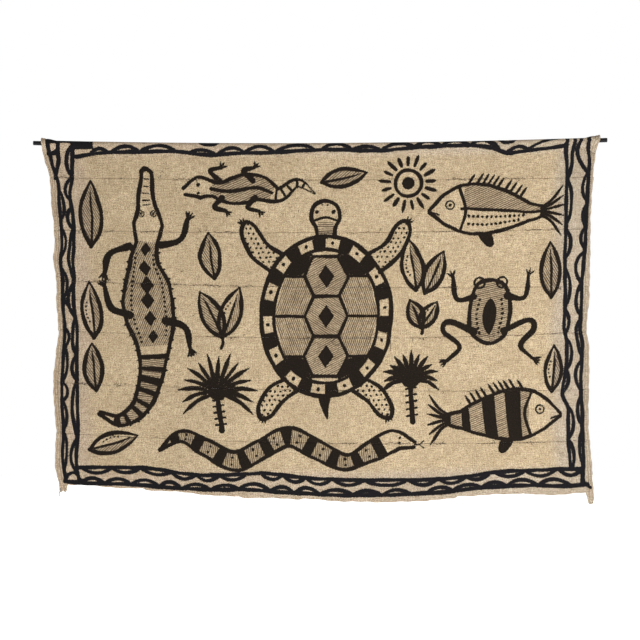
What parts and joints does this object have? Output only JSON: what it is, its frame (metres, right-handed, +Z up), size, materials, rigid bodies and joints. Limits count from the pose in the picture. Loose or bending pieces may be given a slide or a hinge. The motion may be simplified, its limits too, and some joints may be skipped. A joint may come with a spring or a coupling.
{
  "type": "korhogo cloth on its rod",
  "caption": "Painted wall cloth of narrow woven cotton strips sewn edge to edge, hanging over a thin round rod.",
  "frame": {"origin": "on the rod's axis, at the middle of its length", "axes": "+X along the rod to the right as seen from the painted face, +Y towards the wall, +Z up"},
  "size_m": [1.32, 0.0236, 0.8473],
  "materials": {
    "painted_cotton": "undyed handspun plain weave with dark hand-painted lines",
    "black_paint": "satin black paint"
  },
  "bodies": {
    "root": {"rod": "black_paint", "strip_1": "painted_cotton", "strip_2": "painted_cotton", "strip_3": "painted_cotton", "strip_4": "painted_cotton", "strip_5": "painted_cotton", "strip_6": "painted_cotton", "strip_7": "painted_cotton"}
  },
  "joints": []
}
